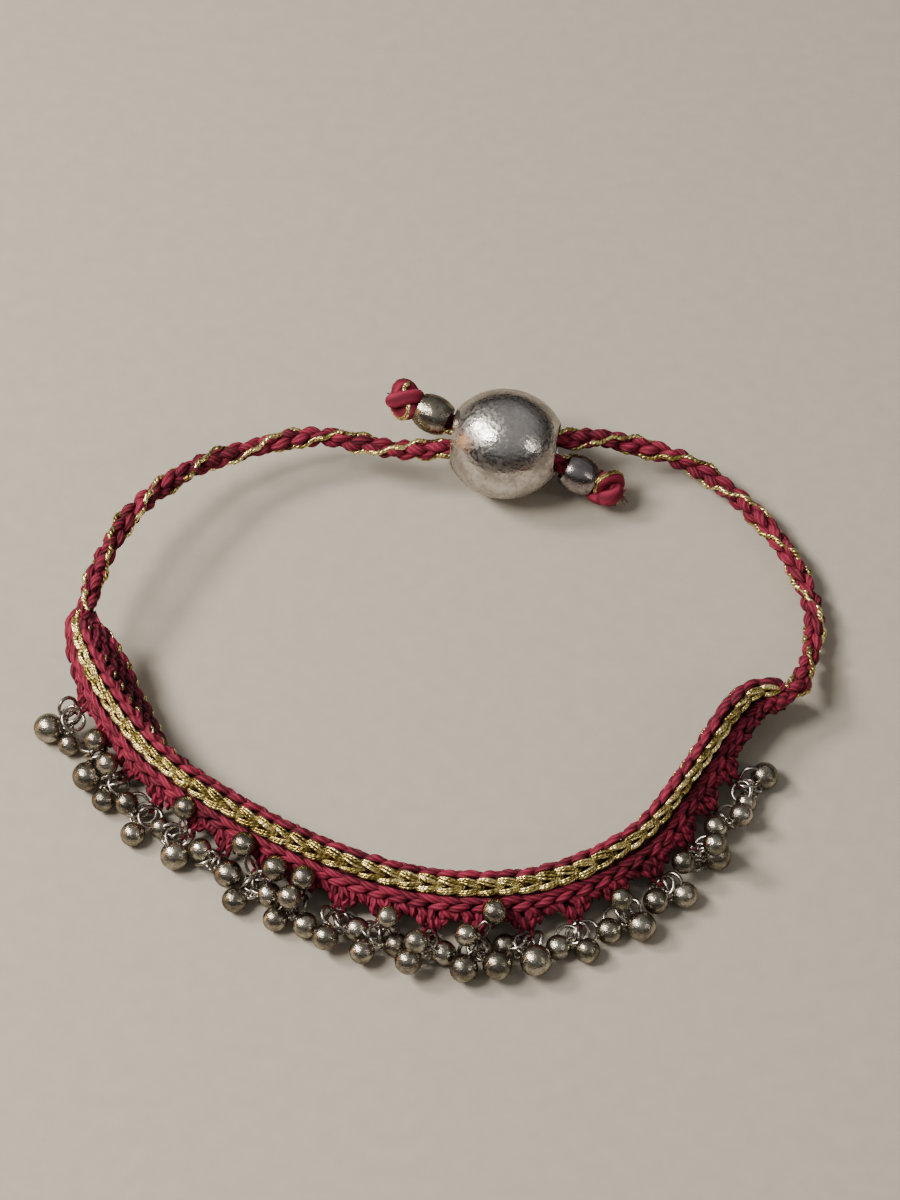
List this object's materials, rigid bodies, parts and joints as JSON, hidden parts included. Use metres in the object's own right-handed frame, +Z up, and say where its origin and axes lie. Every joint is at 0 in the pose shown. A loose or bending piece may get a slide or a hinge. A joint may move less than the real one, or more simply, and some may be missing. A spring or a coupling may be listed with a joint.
{
  "type": "crocheted friendship bracelet",
  "caption": "Crocheted cord bracelet with a gold chain row and hanging silver drops, closed by two plaited cords through a sliding ball.",
  "frame": {"origin": "middle of the bracelet's footprint, on the surface that it lies on", "axes": "+Z up, +Y towards the slider ball, +X to the right as seen from above with the band in front"},
  "size_m": [0.0744, 0.063, 0.0107],
  "materials": {
    "crimson_crochet": "crocheted cotton cord with rows of gold thread",
    "crimson_plait": "plaited cotton cord with a gold thread in its groove",
    "gold_thread": "metallic gold thread with a low gloss",
    "polished_silver": "polished silver, worn and lightly tarnished",
    "tarnished_silver": "warm grey tarnished silver"
  },
  "bodies": {
    "root": {"woven_band": "crimson_crochet", "cord_left": "crimson_plait", "cord_right": "crimson_plait", "slider_ball": "polished_silver", "end_bead_left": "tarnished_silver", "end_bead_right": "tarnished_silver", "end_knot_left": "crimson_plait", "end_knot_right": "crimson_plait", "drops_01": "tarnished_silver", "drops_02": "tarnished_silver", "drops_03": "tarnished_silver", "drops_04": "tarnished_silver", "drops_05": "tarnished_silver", "drops_06": "tarnished_silver", "drops_07": "tarnished_silver", "drops_08": "tarnished_silver", "drops_09": "tarnished_silver", "drops_10": "tarnished_silver", "drops_11": "tarnished_silver", "drops_12": "tarnished_silver", "drops_13": "tarnished_silver", "drops_14": "tarnished_silver", "drops_15": "tarnished_silver", "drops_16": "tarnished_silver", "drops_17": "tarnished_silver", "drops_18": "tarnished_silver", "drops_19": "tarnished_silver"}
  },
  "joints": []
}
